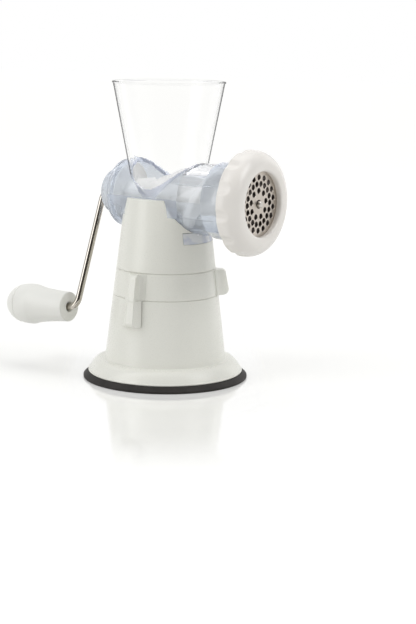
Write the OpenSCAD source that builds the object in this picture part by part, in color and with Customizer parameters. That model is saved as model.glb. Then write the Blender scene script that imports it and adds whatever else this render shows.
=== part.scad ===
// Hand crank meat grinder on a suction stand: white stand, clear barrel and hopper.
// Frame: origin at the centre of the foot on the worktop, +Z up, +X out of the hole plate.

/* [Foot] */
// Radius of the rubber suction foot
foot_r = 75; // [66:0.5:84]
// Height of the foot's upright edge
foot_edge_h = 2.5; // [2:0.25:4]
// Height of the rubber under the stand's flange
foot_h = 5.8; // [5:0.1:8]
// Thickness of the rubber membrane that grips the worktop
membrane_t = 3; // [2:0.25:4]
// Lift of the membrane's centre when the lock ring is turned
lift = 5; // [3:0.5:6]
// Turn of the lock ring from free to locked
lock_angle = 60; // [40:5:75]

/* [Stand] */
// Radius of the stand where the flange meets the cone
cone_low_r = 55; // [52:0.5:58]
// Radius of the stand at the top of its cheeks
cone_top_r = 37.4; // [36.5:0.1:40]
// Width of the step from the flange's edge to the rubber's top edge
flange_step = 4.5; // [4:0.5:8]
// Height at which the flange runs into the cone
flange_top = 18.5; // [16:0.5:22]
// Height of the lower seam, under the lock ring
ring_z = 77.1; // [72:0.5:82]
// Height of the lock ring
ring_h = 23.9; // [22:0.1:28]
// Width of the seams above and below the lock ring
seam = 0.4; // [0.3:0.05:0.8]
// Wall of the stand's mouldings
shell = 3; // [2.2:0.1:4]

/* [Lock ring] */
// How far the fins stand out of the ring
fin_out = 9.5; // [7:0.5:12]
// Width of a fin at its outer edge
fin_w = 6.5; // [5:0.5:9]
// Radius of the hollow on a fin's steep side
fin_fillet = 5; // [3:0.5:6]
// Reach of a fin's gentle side along the ring
fin_sweep = 9.5; // [7:0.5:12]
// Radius of a fin's rounded corners
fin_round = 4.5; // [2:0.5:5]
// Angle of the lever fin, seen from above
fin_angle = -86; // [-100:1:-70]
// How far the lever fin hangs below the ring
lever_drop = 23.5; // [16:0.5:30]
// How much wider the lever fin is at its lower end
lever_flare = 1.25; // [1:0.05:1.4]

/* [Suction gear] */
// Outer radius of the guide column
column_r = 33.5; // [31:0.5:34]
// Radius of the pull stem
stem_r = 6; // [5:0.25:8]
// Length of the pull stem above the cross pin
stem_over = 9; // [6:0.5:11]
// Radius of the pull plate in the rubber foot
pull_plate_r = 30; // [24:1:36]
// Radius of the cross pin
cross_r = 2; // [1.5:0.1:2.6]
// How far the cross pin reaches into the ring's cam grooves
cam_depth = 4; // [2.5:0.5:5]
// Radius of the tie screws' shanks
screw_r = 1.5; // [1.2:0.1:2]

/* [Barrel] */
// Height of the barrel's axis above the worktop
axis_z = 166; // [160:0.5:172]
// Outer radius of the barrel
barrel_r = 31; // [29.5:0.1:32.5]
// Wall of the barrel
barrel_wall = 3.4; // [2.6:0.1:4]
// Distance from the hopper's side of the origin to the barrel's back wall
barrel_back = 46; // [43:0.5:50]
// Distance from the origin to the barrel's front edge
barrel_front = 98.2; // [95:0.1:104]
// Outer radius of the bearing boss on the back wall
boss_r = 20; // [18:0.5:22]
// Length of the bearing boss
boss_len = 15; // [12:0.5:18]
// Outer radius of the collar that carries the ring nut
collar_r = 39; // [38:0.1:41]
// Half the width of the barrel's slide foot
slide_half = 22; // [19:0.25:24]
// Height of the slide foot
slide_h = 9.9; // [8:0.1:12]
// Number of grooves along the inside of the barrel
groove_count = 6; // [4:1:10]
// Radius of those grooves
groove_r = 1.3; // [0.8:0.1:1.8]

/* [Hopper] */
// Height of the hopper's rim above the worktop
hopper_top = 268.2; // [250:1:285]
// Outer radius of the hopper at its rim
hopper_r = 50.2; // [47:0.1:54]
// Outer radius of the hopper at the height of the barrel's axis
hopper_low_r = 30.5; // [30:0.1:30.9]
// Distance from the origin to the hopper's axis
hopper_x = 1.7; // [0:0.1:4]
// Wall of the hopper
hopper_wall = 2; // [1.6:0.1:2.6]

/* [Worm] */
// Clearance between the worm and the barrel's bore
worm_gap = 0.6; // [0.4:0.1:1.2]
// Radius of the worm's core at the back
core_r = 14; // [13.5:0.1:15.5]
// Length of one turn of the worm
worm_pitch = 80; // [60:1:100]
// Place along the barrel where a flight crosses the near side
flight_x = 7.4; // [0:0.1:20]
// Radius of the worm's back journal
journal_r = 12; // [11:0.1:12.5]

/* [Cutting set] */
// Radius of the hole plate
plate_r = 31; // [30.4:0.1:32]
// Thickness of the hole plate
plate_t = 5; // [4:0.1:6]
// Diameter of the holes in the plate
hole_d = 4.5; // [3:0.1:4.8]
// Radius of the steel pin that the plate turns on
pin_r = 3; // [2.5:0.1:3.5]
// How far the pin stands out of the plate
pin_out = 3; // [1:0.5:4]
// Across the flats of the pin's square
square_af = 9; // [8:0.1:10]
// Length of the pin's shank inside the worm
shank_len = 25; // [20:1:32]
// Thickness of the knife
knife_t = 5.6; // [4.5:0.1:7]

/* [Ring nut] */
// Outer radius of the ring nut over its lobes
nut_r = 46.7; // [46:0.1:49]
// Length of the ring nut
nut_len = 20; // [18:0.1:22]
// Radius of the nut's opening
nut_mouth_r = 28.5; // [27:0.1:29.5]
// Thickness of the lip that holds the plate
lip_t = 5.8; // [4.5:0.1:7]
// Number of finger scoops round the nut
scoop_count = 12; // [8:1:14]
// Depth of a scoop
scoop_depth = 1.9; // [1:0.1:2.6]
// Radius of a scoop
scoop_r = 11; // [9:0.5:16]
// Turn that slackens the ring nut
nut_turn = 120; // [45:5:150]
// Travel of the nut along the barrel in one turn
nut_pitch = 4; // [2:0.5:5]

/* [Crank] */
// Radius of the crank rod
rod_r = 3; // [2.5:0.1:3.5]
// Distance from the barrel's axis to the grip's axis
throw = 113; // [95:1:125]
// Distance from the origin back to the crank's arm
arm_x = 72; // [71:0.5:76]
// Radius of the rod's two bends
bend_r = 9; // [7.5:0.25:9]
// Angle of the crank from straight down, towards -Y
rest_angle = 21; // [0:1:45]
// Across the flats of the drive hexagon
hex_af = 13; // [11:0.5:16]
// Length of the drive hexagon
hex_len = 30; // [22:1:36]

/* [Grip] */
// Radius of the grip's end at the crank
grip_end_r = 13.8; // [12:0.1:15]
// Radius of the grip's neck
grip_neck_r = 15; // [13:0.1:16.5]
// Radius of the grip's bulb
grip_bulb_r = 18.8; // [17:0.1:20.5]
// Length of the grip with its cap
grip_len = 71; // [64:1:84]
// Length of the end cap
grip_cap_len = 17; // [13:0.5:20]
// Droop of the grip's axis from a right angle to the arm
droop = 2.9; // [0:0.1:5]

/* [Hidden] */
$fn = 96;
eps = 0.01;

WHITE = [0.93, 0.92, 0.89];
CLEAR = [0.80, 0.86, 0.93, 0.35];
STEEL = [0.72, 0.72, 0.72];
RUBBER = [0.16, 0.14, 0.13];

run = 0.1;        // radial clearance of a shaft in its bearing
gap = 0.3;        // clearance between faces that slide or turn past each other
touch = 0.02;     // clearance between pieces that seat on one another

stand_top = axis_z - 0.5;
cheek_r = barrel_r + gap;
function cone_r(z) = cone_low_r + (cone_top_r - cone_low_r) * (z - flange_top) / (stand_top - flange_top);
function arc(c, r, a0, a1, n) = [for (i = [0:n]) c + r * [cos(a0 + (a1 - a0) * i / n), sin(a0 + (a1 - a0) * i / n)]];
function bez(p, n) = [for (i = [0:n]) let (t = i / n, u = 1 - t)
    u * u * u * p[0] + 3 * u * u * t * p[1] + 3 * u * t * t * p[2] + t * t * t * p[3]];

flange_r = foot_r - flange_step;
flange_in = cone_low_r - shell;
low_top = ring_z - seam / 2;
ring_low = ring_z + seam / 2;
ring_top = ring_z + ring_h - seam / 2;
up_low = ring_z + ring_h + seam / 2;
deck_t = 6;
up_deck = up_low + 10;
plate_low = membrane_t + touch;
pull_plate_t = 2;

col_in = column_r - 9.5;
col_low = low_top - deck_t - 11;
col_flange = 5;
cam_r = column_r + gap + cam_depth;
pin_z = ring_low + cross_r + 4.5;
screw_c = (column_r + col_in) / 2;
screw_in = 12;

bore_r = barrel_r - barrel_wall;
worm_r = bore_r - worm_gap;
boss_end = barrel_back + boss_len;
plate_x = barrel_front - plate_t + 1;      // back face of the hole plate
plate_face = plate_x + plate_t;
nut_back = plate_face + lip_t - nut_len;
plate_seat = plate_r + gap;
slot_low = axis_z - barrel_r - slide_h + 1.4;
slot_top = slot_low + slide_h + 2 * gap;
slide_back = 28;
x_col = plate_face - 39;                   // where the barrel widens towards its collar

hop_slope = (hopper_r - hopper_low_r) / (hopper_top - axis_z);
worm_back = -(barrel_back - barrel_wall - 2.2);
worm_front = plate_x - gap / 2 - knife_t - touch;
bush_r = journal_r + 3;
key_r = 1.5;
lever_low = ring_low - lever_drop;
lever_grow = cone_r(lever_low) / cone_r(ring_low);
key_x = plate_x + nut_pitch * nut_turn / 360 + 2;
hex_back = -(boss_end + 0.4);
hex_front = hex_back + hex_len;
clip_x = -(boss_end + 1.8);
lap = 0.3;

grip_x = arm_x + rod_r + 6;
grip_seam = grip_x + grip_len - grip_cap_len;
grip_tip = grip_x + grip_len;

// revolve a profile of [x, radius] points about the barrel's axis
module along_x(points) {
    translate([0, 0, axis_z]) rotate([0, 90, 0]) rotate_extrude()
        polygon([for (p = points) [p[1], p[0]]]);
}
// a cylinder along the barrel's axis, from x0 to x1
module x_cyl(r, x0, x1) {
    translate([x0, 0, axis_z]) rotate([0, 90, 0]) cylinder(r = r, h = x1 - x0);
}
// the stand's cone, grown by d, from z0 to z1
module stand_cone(z0, z1, d = 0) {
    translate([0, 0, z0]) cylinder(r1 = cone_r(z0) + d, r2 = cone_r(z1) + d, h = z1 - z0);
}

// ---- foot and suction gear

module suction_foot() {
    color(RUBBER) rotate_extrude() polygon(concat(
        [[0, 0]], arc([foot_r - 0.8, 0.8], 0.8, -90, 0, 4), arc([foot_r - 0.8, foot_edge_h - 0.8], 0.8, 0, 60, 4),
        [[flange_r + 0.4, foot_h], [flange_in, foot_h]],
        [[flange_in - 3, membrane_t], [0, membrane_t]]));
}

module pull_plate() {
    color(STEEL) translate([0, 0, plate_low]) difference() {
        cylinder(r = pull_plate_r, h = pull_plate_t);
        translate([0, 0, -1]) cylinder(r = stem_r - 2, h = pull_plate_t + 2);
        for (a = [30:60:330]) rotate(a) translate([pull_plate_r - 8, 0, -1]) cylinder(r = 3, h = pull_plate_t + 2);
    }
}

module pull_stem() {
    z0 = plate_low + pull_plate_t;
    color(WHITE) difference() {
        union() {
            translate([0, 0, z0]) cylinder(r = stem_r, h = pin_z + stem_over - z0);
            translate([0, 0, z0]) cylinder(r1 = stem_r + 7, r2 = stem_r, h = 6);
            translate([0, 0, plate_low]) cylinder(r = stem_r - 2 - touch, h = pull_plate_t + 1);
        }
        translate([-stem_r - 1, 0, pin_z]) rotate([0, 90, 0]) cylinder(r = cross_r + touch, h = 2 * stem_r + 2);
    }
}

module cross_pin() {
    color(STEEL) translate([-(cam_r - gap), 0, pin_z]) rotate([0, 90, 0])
        cylinder(r = cross_r, h = 2 * (cam_r - gap));
}

// ---- stand

module lower_housing() {
    color(WHITE) difference() {
        union() {
            rotate_extrude() polygon(concat(
                [[0, foot_h], [flange_r - 0.4, foot_h], [flange_r, foot_h + 0.4]],
                arc([flange_r - 1, foot_h + 0.9], 1, 0, 62, 3),
                bez([[flange_r - 1.6, foot_h + 2.3], [flange_r - 6, foot_h + 3.9],
                     [cone_low_r + 4.2, flange_top - 4.8], [cone_low_r + 1.6, flange_top - 1.2]], 8),
                bez([[cone_low_r + 1.3, flange_top - 0.7], [cone_low_r + 0.7, flange_top + 0.1],
                     [cone_r(flange_top + 1.5) + 0.1, flange_top + 1.2], [cone_r(flange_top + 4), flange_top + 4]], 4),
                [[cone_r(low_top - 0.5), low_top - 0.5], [cone_r(low_top) - 0.5, low_top], [0, low_top]]));
        }
        // hollow under the deck
        translate([0, 0, foot_h - 1]) cylinder(r1 = cone_r(foot_h - 1) - shell - 1.3,
            r2 = cone_r(low_top - deck_t) - shell, h = low_top - deck_t - foot_h + 1);
        // bore for the guide column
        translate([0, 0, low_top - deck_t - 1]) cylinder(r = column_r + touch, h = deck_t + 2);
    }
}

module guide_column() {
    color(WHITE) difference() {
        union() {
            translate([0, 0, col_low]) cylinder(r = column_r, h = up_deck - col_low);
            translate([0, 0, low_top - deck_t - col_flange - touch]) cylinder(r = column_r + 7, h = col_flange);
        }
        translate([0, 0, col_low + 6]) cylinder(r = col_in, h = up_deck - col_low);
        translate([0, 0, col_low - 1]) cylinder(r = stem_r + run, h = 8);
        for (a = [0, 180]) rotate(a) translate([col_in - 2, -(cross_r + gap), pin_z - cross_r - gap])
            cube([column_r, 2 * (cross_r + gap), lift + 2 * (cross_r + gap)]);
        for (a = [90, 210, 330]) rotate(a) translate([screw_c, 0, col_low - 1])
            cylinder(r = screw_r + run, h = up_deck - col_low + 2);
    }
}

module tie_screws() {
    color(STEEL) for (a = [90, 210, 330]) rotate(a) translate([screw_c, 0, 0]) {
        translate([0, 0, col_low - 1]) cylinder(r = screw_r, h = up_deck + screw_in - col_low, $fn = 32);
        translate([0, 0, col_low - 2.5 - touch]) cylinder(r = 2 * screw_r, h = 2.5, $fn = 32);
    }
}

// the outline of a fin seen from above, pointing along +X: a gentle side towards -Y,
// a steep side towards +Y that ends in a hollow, or in a plain slant where it hangs free
module fin_plan(free) {
    r0 = cone_r(ring_low);
    r1 = r0 + fin_out;
    w = fin_w / 2;
    polygon(concat(
        [[0, -w - fin_sweep]],
        bez([[r0 - 0.4, -w - fin_sweep], [r0 + 0.4, -w - fin_sweep * 0.3], [r1 + 0.2, -w - 3.5], [r1 + 0.6, -w + 2]], 8),
        [[r1 + 2, -w + 3]],
        free ? [[r1 + 2, w - 0.8], [r0, w + 2.4], [0, w + 2.4]]
             : concat([[r1 + 2, w]], arc([r0 - 0.4 + fin_fillet, w + fin_fillet], fin_fillet, -90, -180, 6), [[0, w + fin_fillet]])));
}

// the space between the ring and its fins' outer edges, rounded at top and bottom
module fin_belt(z0, z1, out, round) {
    rotate_extrude() polygon(concat(
        [[column_r + 5, z0]], arc([cone_r(z0) + out - round, z0 + round], round, -90, 0, 6),
        arc([cone_r(z1) + out - round, z1 - round], round, 0, 90, 6), [[column_r + 5, z1]]));
}

// one cam groove: a helical channel that lifts the cross pin as the ring turns
module cam_groove() {
    n = 12;
    over = 5;
    w = cross_r + gap;
    ring = [for (i = [0:n]) let (a = over - (lock_angle + 2 * over) * i / n, z = pin_z - a * lift / lock_angle)
        [for (q = [[column_r - 1, -w], [cam_r, -w], [cam_r, w], [column_r - 1, w]])
            [q[0] * cos(a), q[0] * sin(a), z + q[1]]]];
    pts = [for (r = ring) each r];
    polyhedron(points = pts, faces = concat([[0, 1, 2, 3]], [[4 * n + 3, 4 * n + 2, 4 * n + 1, 4 * n]],
        [for (i = [0:n - 1], j = [0:3]) each [
            [4 * i + j, 4 * (i + 1) + j, 4 * i + (j + 1) % 4],
            [4 * i + (j + 1) % 4, 4 * (i + 1) + j, 4 * (i + 1) + (j + 1) % 4]]]));
}

module lock_ring() {
    color(WHITE) difference() {
        union() {
            stand_cone(ring_low + 0.5, ring_top - 0.5);
            translate([0, 0, ring_low]) cylinder(r1 = cone_r(ring_low) - 0.5, r2 = cone_r(ring_low + 0.5), h = 0.5);
            translate([0, 0, ring_top - 0.5]) cylinder(r1 = cone_r(ring_top - 0.5), r2 = cone_r(ring_top) - 0.5, h = 0.5);
            for (a = [0, 120, 240]) rotate(fin_angle + a) intersection() {
                translate([0, 0, ring_low]) linear_extrude(ring_h, scale = cone_r(ring_top) / cone_r(ring_low), slices = 1) fin_plan(false);
                fin_belt(a == 0 ? ring_low - fin_round : ring_low, ring_top - 0.4, fin_out, fin_round);
            }
            // the lever fin runs on below the ring, clear of the lower housing
            rotate(fin_angle) difference() {
                intersection() {
                    translate([0, 0, lever_low]) linear_extrude(lever_drop, scale = [1 / lever_grow, 1 / lever_flare], slices = 1)
                        scale([lever_grow, lever_flare]) fin_plan(true);
                    fin_belt(lever_low, ring_top, fin_out, fin_round);
                }
                stand_cone(lever_low - 1, ring_low, 2 * gap + 0.2);
            }
        }
        translate([0, 0, ring_low - 1]) cylinder(r = column_r + gap, h = ring_h + 2);
        for (a = [0, 180]) rotate(a) cam_groove();
    }
}

module upper_housing() {
    color(WHITE) difference() {
        union() {
            stand_cone(up_low + 0.5, stand_top);
            translate([0, 0, up_low]) cylinder(r1 = cone_r(up_low) - 0.5, r2 = cone_r(up_low + 0.5), h = 0.5);
        }
        // hollow above the lock ring
        translate([0, 0, up_low - 1]) cylinder(r = cone_r(up_deck) - shell, h = up_deck - up_low + 1);
        // cradle for the barrel
        x_cyl(cheek_r, -2 * cone_low_r, 2 * cone_low_r);
        barrel_skin(gap);
        // slot for the barrel's slide foot, open to the front
        translate([-slide_back - gap, -slide_half - gap, slot_low])
            cube([slide_back + 2 * cone_low_r, 2 * (slide_half + gap), slot_top - slot_low]);
        // holes for the tie screws
        for (a = [90, 210, 330]) rotate(a) translate([screw_c, 0, up_deck - 1])
            cylinder(r = screw_r + touch, h = screw_in + 1, $fn = 32);
    }
}

// ---- barrel and hopper

// the hopper's cone, grown by d, from the barrel's axis up to z1
module hopper_cone(z1, d) {
    translate([hopper_x, 0, axis_z])
        cylinder(r1 = hopper_low_r + d, r2 = hopper_low_r + hop_slope * (z1 - axis_z) + d, h = z1 - axis_z);
}

// the barrel's outside, grown by d
module barrel_skin(d = 0) {
    along_x([for (p = [[-boss_end, 0], [-boss_end, boss_r - 1.5], [-boss_end + 1.5, boss_r],
        [-barrel_back - 2, boss_r], [-barrel_back, boss_r + 2], [-barrel_back, barrel_r - 2],
        [-barrel_back + 2, barrel_r], [x_col - 27, barrel_r], [x_col - 26, barrel_r + 0.5],
        [x_col - 2, barrel_r + 0.9], [x_col, barrel_r + 2.4], [nut_back - 6, barrel_r + 3.2],
        [nut_back - 2, collar_r], [barrel_front, collar_r], [barrel_front, 0]]) [p[0], p[1] > 0 ? p[1] + d : 0]]);
}

module barrel() {
    color(CLEAR) difference() {
        union() {
            barrel_skin();
            // slide foot, flush with the front of the stand
            intersection() {
                union() {
                    translate([-slide_back, -slide_half, slot_low + gap / 2])
                        cube([slide_back + cone_low_r, 2 * slide_half, slide_h]);
                    translate([-slide_back, -11, slot_low + slide_h - 1]) cube([slide_back + cone_low_r, 22, 6]);
                }
                stand_cone(slot_low - 1, axis_z, -0.1);
            }
        }
        // bore, plate seat and bearing boss
        x_cyl(bore_r, -(barrel_back - barrel_wall), barrel_front + 1);
        x_cyl(plate_seat, plate_x - touch, barrel_front + 1);
        x_cyl(bush_r + touch, -boss_end - 1, -barrel_back + barrel_wall + 1);
        // throat under the hopper
        hopper_cone(hopper_top, -hopper_wall);
        // grooves that keep the meat from turning with the worm
        for (i = [0:groove_count - 1]) translate([0, 0, axis_z]) rotate([i * 360 / groove_count, 0, 0])
            translate([x_col - 20, 0, bore_r]) rotate([0, 90, 0])
                cylinder(r = groove_r, h = plate_x - x_col + 14, $fn = 24);
        // seat of the plate's key
        translate([plate_x - 7, 0, axis_z - plate_seat]) rotate([0, 90, 0])
            cylinder(r = key_r + touch, h = 7 + plate_t, $fn = 32);
    }
}

module hopper() {
    color(CLEAR) difference() {
        union() {
            hopper_cone(hopper_top, 0);
            translate([hopper_x, 0, hopper_top - 2]) cylinder(r1 = hopper_r - 0.5, r2 = hopper_r + 0.8, h = 1);
            translate([hopper_x, 0, hopper_top - 1]) cylinder(r = hopper_r + 0.8, h = 1);
        }
        hopper_cone(hopper_top + 1, -hopper_wall);
        barrel_skin(touch);
        translate([0, 0, axis_z - 5]) cube([4 * hopper_r, 4 * hopper_r, 10.01], center = true);
    }
}

// ---- worm, knife and plate

// radius of the worm's section at angle a from the middle of a flight
function flight(a) = let (crest = 12, b = abs(a) < crest ? 1 : (1 + cos(180 * (abs(a) - crest) / 52)) / 2)
    core_r - 4 + (worm_r - core_r + 4) * pow(b, 1.5);

module worm() {
    x0 = worm_back + 1.2;
    span = worm_front - x0;
    color(WHITE) difference() {
        union() {
            // two flights, cut down to the core over the intake
            intersection() {
                translate([x0, 0, axis_z]) rotate([0, 90, 0])
                    linear_extrude(height = span, twist = 360 * span / worm_pitch, slices = 42, convexity = 6, $fn = 4)
                        rotate(270 + 360 * (flight_x - x0) / worm_pitch)
                            polygon([for (s = [0, 180], a = [-64, -52, -40, -30, -21, -12, -4, 4, 12, 21, 30, 40, 52, 64])
                                flight(a) * [cos(s + a), sin(s + a)]]);
                along_x([[x0 + 0.4, 0], [x0 + 0.4, core_r - 3.5], [flight_x - 16, core_r], [flight_x, worm_r + 1],
                    [worm_front + 1, worm_r + 1], [worm_front + 1, 0]]);
            }
            // rear disc and tapering core
            along_x([[worm_back, 0], [worm_back, worm_r - 1.8], [worm_back + 1.4, worm_r - 1.8],
                [worm_back + 2.6, core_r - 2.5], [flight_x - 14, core_r], [worm_front, core_r - 1], [worm_front, 0]]);
            x_cyl(journal_r, -boss_end + 0.3, worm_back + 1);
        }
        // socket of the drive hexagon
        translate([-boss_end - 1, 0, axis_z]) rotate([0, 90, 0])
            cylinder(r = (hex_af / 2 + touch) / cos(30), h = hex_front + boss_end + 2, $fn = 6);
        x_cyl(rod_r + 1, hex_front, hex_front + 8);
        // socket of the steel pin
        x_cyl(square_af * 0.6 + touch, worm_front - shank_len - 1, worm_front + 1);
    }
}

module worm_pin() {
    color(STEEL) {
        x_cyl(square_af * 0.6, worm_front - shank_len, worm_front);
        translate([worm_front, -square_af / 2, axis_z - square_af / 2])
            cube([knife_t + touch, square_af, square_af]);
        x_cyl(pin_r, worm_front, plate_face + pin_out - 0.8);
        translate([plate_face + pin_out - 0.8, 0, axis_z]) rotate([0, 90, 0])
            cylinder(r1 = pin_r, r2 = pin_r - 0.8, h = 0.8);
    }
}

module knife() {
    x0 = worm_front + touch;
    color(STEEL) translate([x0, 0, axis_z]) rotate([0, 90, 0]) difference() {
        union() {
            cylinder(r = square_af * 0.95, h = knife_t);
            intersection() {
                cylinder(r = bore_r - 1, h = knife_t);
                for (a = [0:90:270]) rotate(a + 20) translate([0, 0, 0]) rotate([90, 0, 90])
                    linear_extrude(bore_r) polygon([[-5.5, knife_t - 2.4], [-2.5, 0.6], [4.2, 0], [4.2, knife_t], [-5.5, knife_t]]);
            }
        }
        translate([0, 0, knife_t / 2]) cube([square_af + 2 * touch, square_af + 2 * touch, knife_t + 2], center = true);
    }
}

module hole_plate() {
    color(STEEL) difference() {
        along_x([[plate_x, 0], [plate_x, plate_r], [plate_face - 0.4, plate_r], [plate_face, plate_r - 0.4],
            [plate_face, 0]]);
        x_cyl(pin_r + run, plate_x - 1, plate_face + 1);
        // three rings of holes
        for (ring = [[0.375, 9, 0], [0.57, 18, 10], [0.75, 18, 0]], i = [0:ring[1] - 1])
            translate([plate_x - 1, 0, axis_z]) rotate([-(ring[2] + i * 360 / ring[1]), 0, 0])
                translate([0, 0, ring[0] * plate_r]) rotate([0, 90, 0]) cylinder(d = hole_d, h = plate_t + 2, $fn = 24);
        // notch for the key
        translate([plate_x - 1, 0, axis_z - plate_seat]) rotate([0, 90, 0])
            cylinder(r = key_r + gap, h = plate_t + 2, $fn = 32);
    }
}

module plate_key() {
    color(STEEL) translate([plate_x - 7 + touch, 0, axis_z - plate_seat]) rotate([0, 90, 0])
        cylinder(r = key_r, h = key_x - plate_x + 7, $fn = 32);
}

module ring_nut() {
    face = plate_face + lip_t;
    color(WHITE) difference() {
        along_x(concat([[nut_back, 0], [nut_back, nut_r - 2.2]],
            arc([nut_back + 1.6, nut_r - 1.9], 1.6, 170, 96, 4),
            bez([[nut_back + 2.2, nut_r - 0.2], [nut_back + nut_len * 0.6, nut_r + 0.6],
                 [face - 3.2, nut_r - 3.6], [face - 1, nut_r - 8.4]], 10),
            bez([[face - 1, nut_r - 8.4], [face - 0.1, nut_r - 10.4], [face, nut_mouth_r + 5], [face - 0.2, nut_mouth_r + 2.2]], 5),
            [[face - 0.8, nut_mouth_r + 0.7], [face - 2.2, nut_mouth_r], [face - 2.2, 0]]));
        x_cyl(collar_r + gap, nut_back - 1, plate_face);
        x_cyl(nut_mouth_r, plate_face - 1, face + 1);
        // finger scoops, open to the back
        for (i = [0:scoop_count - 1]) translate([0, 0, axis_z]) rotate([(i + 0.3) * 360 / scoop_count, 0, 0])
            translate([nut_back - 3, 0, nut_r + scoop_r - scoop_depth]) rotate([0, 90, 0]) {
                cylinder(r = scoop_r, h = nut_len * 0.52 + 3, $fn = 48);
                translate([0, 0, nut_len * 0.52 + 3]) sphere(r = scoop_r, $fn = 48);
            }
    }
}

module rear_bush() {
    color(WHITE) difference() {
        x_cyl(bush_r, -boss_end + 0.2, -(barrel_back - barrel_wall));
        x_cyl(journal_r + run, -boss_end - 1, 0);
    }
}

module thrust_washer() {
    color(STEEL) difference() {
        x_cyl(core_r + 5.5, -(barrel_back - barrel_wall) + gap, worm_back - touch);
        x_cyl(journal_r + touch, -barrel_back - 1, worm_back + 1);
    }
}

// ---- crank and grip

module crank_rod() {
    color(STEEL) translate([0, 0, axis_z]) rotate([-rest_angle, 0, 0]) {
        // shaft in the drive hexagon
        translate([-arm_x + bend_r, 0, 0]) rotate([0, 90, 0]) cylinder(r = rod_r, h = arm_x - bend_r + hex_front + 4);
        translate([-arm_x + bend_r, 0, -bend_r]) rotate([90, 0, 0]) rotate([0, 0, 90])
            rotate_extrude(angle = 90) translate([bend_r, 0]) circle(r = rod_r);
        translate([-arm_x, 0, -throw + bend_r - lap]) cylinder(r = rod_r, h = throw - 2 * bend_r + lap);
        // the second bend, a hair thinner than the straights that lap over its ends
        translate([-arm_x - bend_r, 0, -throw + bend_r]) rotate([-90, 0, 0]) {
            rotate_extrude(angle = 90 - droop) translate([bend_r, 0]) circle(r = rod_r - touch);
            rotate([0, 0, 90 - droop]) translate([bend_r, -lap, 0]) rotate([-90, 0, 0])
                cylinder(r = rod_r, h = grip_seam + 5 - arm_x - bend_r + lap);
        }
    }
}

module drive_hex() {
    color(STEEL) translate([hex_back, 0, axis_z]) rotate([0, 90, 0]) difference() {
        cylinder(r = hex_af / 2 / cos(30), h = hex_front - hex_back, $fn = 6);
        translate([0, 0, -1]) cylinder(r = rod_r + touch, h = hex_front - hex_back + 2);
    }
}

module crank_clip() {
    color(STEEL) difference() {
        x_cyl(rod_r + 3.5, clip_x, clip_x + 1.2);
        x_cyl(rod_r + touch, clip_x - 1, clip_x + 3);
    }
}

// put a piece that is drawn about the X axis onto the grip's axis
module on_grip() {
    translate([0, 0, axis_z]) rotate([-rest_angle, 0, 0]) translate([-arm_x - bend_r, 0, -throw + bend_r])
        rotate([0, -droop, 0]) translate([arm_x + bend_r, 0, -bend_r]) children();
}

// the grip's outline, [distance behind the origin, radius]
grip_line = concat(
    arc([grip_x + 1.2, grip_end_r - 1.2], 1.2, 180, 90, 3),
    bez([[grip_x + 4, grip_end_r + 0.1], [grip_x + grip_len * 0.30, grip_neck_r],
         [grip_x + grip_len * 0.42, grip_neck_r + 0.7], [grip_x + grip_len * 0.55, grip_bulb_r - 0.5]], 10),
    bez([[grip_x + grip_len * 0.55, grip_bulb_r - 0.5], [grip_x + grip_len * 0.61, grip_bulb_r + 0.2],
         [grip_x + grip_len * 0.68, grip_bulb_r], [grip_seam, grip_bulb_r - 0.9]], 6));
cap_line = bez([[grip_seam, grip_bulb_r - 0.9], [grip_seam + grip_cap_len * 0.28, grip_bulb_r - 1.8],
    [grip_tip, grip_bulb_r * 0.62], [grip_tip, 0]], 12);

module grip() {
    color(WHITE) on_grip() rotate([0, -90, 0]) difference() {
        rotate_extrude() polygon(concat([[0, grip_x]], [for (p = grip_line) [p[1], p[0]]], [[0, grip_seam]]));
        translate([0, 0, grip_x - 1]) cylinder(r = rod_r + run, h = grip_len + 2);
        // the bend of the rod turns in this countersink
        translate([0, 0, grip_x - 1]) cylinder(r1 = rod_r + 1.8, r2 = rod_r + run, h = 6);
    }
}

module grip_cap() {
    color(WHITE) on_grip() rotate([0, -90, 0]) difference() {
        rotate_extrude() polygon(concat([[0, grip_seam + touch]], [for (p = cap_line) [p[1], max(p[0], grip_seam + touch)]]));
        translate([0, 0, grip_seam - 1]) cylinder(r = rod_r + 5, h = 8);
    }
}

module grip_washer() {
    color(STEEL) on_grip() rotate([0, -90, 0]) difference() {
        translate([0, 0, grip_seam + gap]) cylinder(r = rod_r + 4, h = 1.5);
        translate([0, 0, grip_seam - 1]) cylinder(r = rod_r + touch, h = 8);
    }
}

suction_foot();
pull_plate();
pull_stem();
cross_pin();
lower_housing();
guide_column();
lock_ring();
upper_housing();
tie_screws();
barrel();
hopper();
worm();
worm_pin();
knife();
hole_plate();
plate_key();
ring_nut();
rear_bush();
thrust_washer();
crank_rod();
drive_hex();
crank_clip();
grip();
grip_cap();
grip_washer();
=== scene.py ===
"""Hand crank meat grinder: materials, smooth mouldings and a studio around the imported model."""
import bpy
import bmesh
from math import cos, pi, radians, sin, sqrt
from mathutils import Matrix, Vector


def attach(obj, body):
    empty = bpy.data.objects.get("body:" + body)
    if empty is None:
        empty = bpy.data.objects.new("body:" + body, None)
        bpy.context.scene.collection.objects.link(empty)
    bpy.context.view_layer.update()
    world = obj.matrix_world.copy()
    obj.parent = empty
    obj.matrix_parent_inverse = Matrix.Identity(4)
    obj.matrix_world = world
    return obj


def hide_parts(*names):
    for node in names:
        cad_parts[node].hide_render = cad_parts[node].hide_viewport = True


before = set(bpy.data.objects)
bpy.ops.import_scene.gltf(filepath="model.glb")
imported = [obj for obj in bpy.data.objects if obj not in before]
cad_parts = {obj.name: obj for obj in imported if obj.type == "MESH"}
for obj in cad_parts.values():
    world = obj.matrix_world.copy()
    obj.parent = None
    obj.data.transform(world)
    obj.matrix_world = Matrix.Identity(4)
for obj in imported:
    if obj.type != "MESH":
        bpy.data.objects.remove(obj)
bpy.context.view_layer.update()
MM = 0.001

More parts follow.
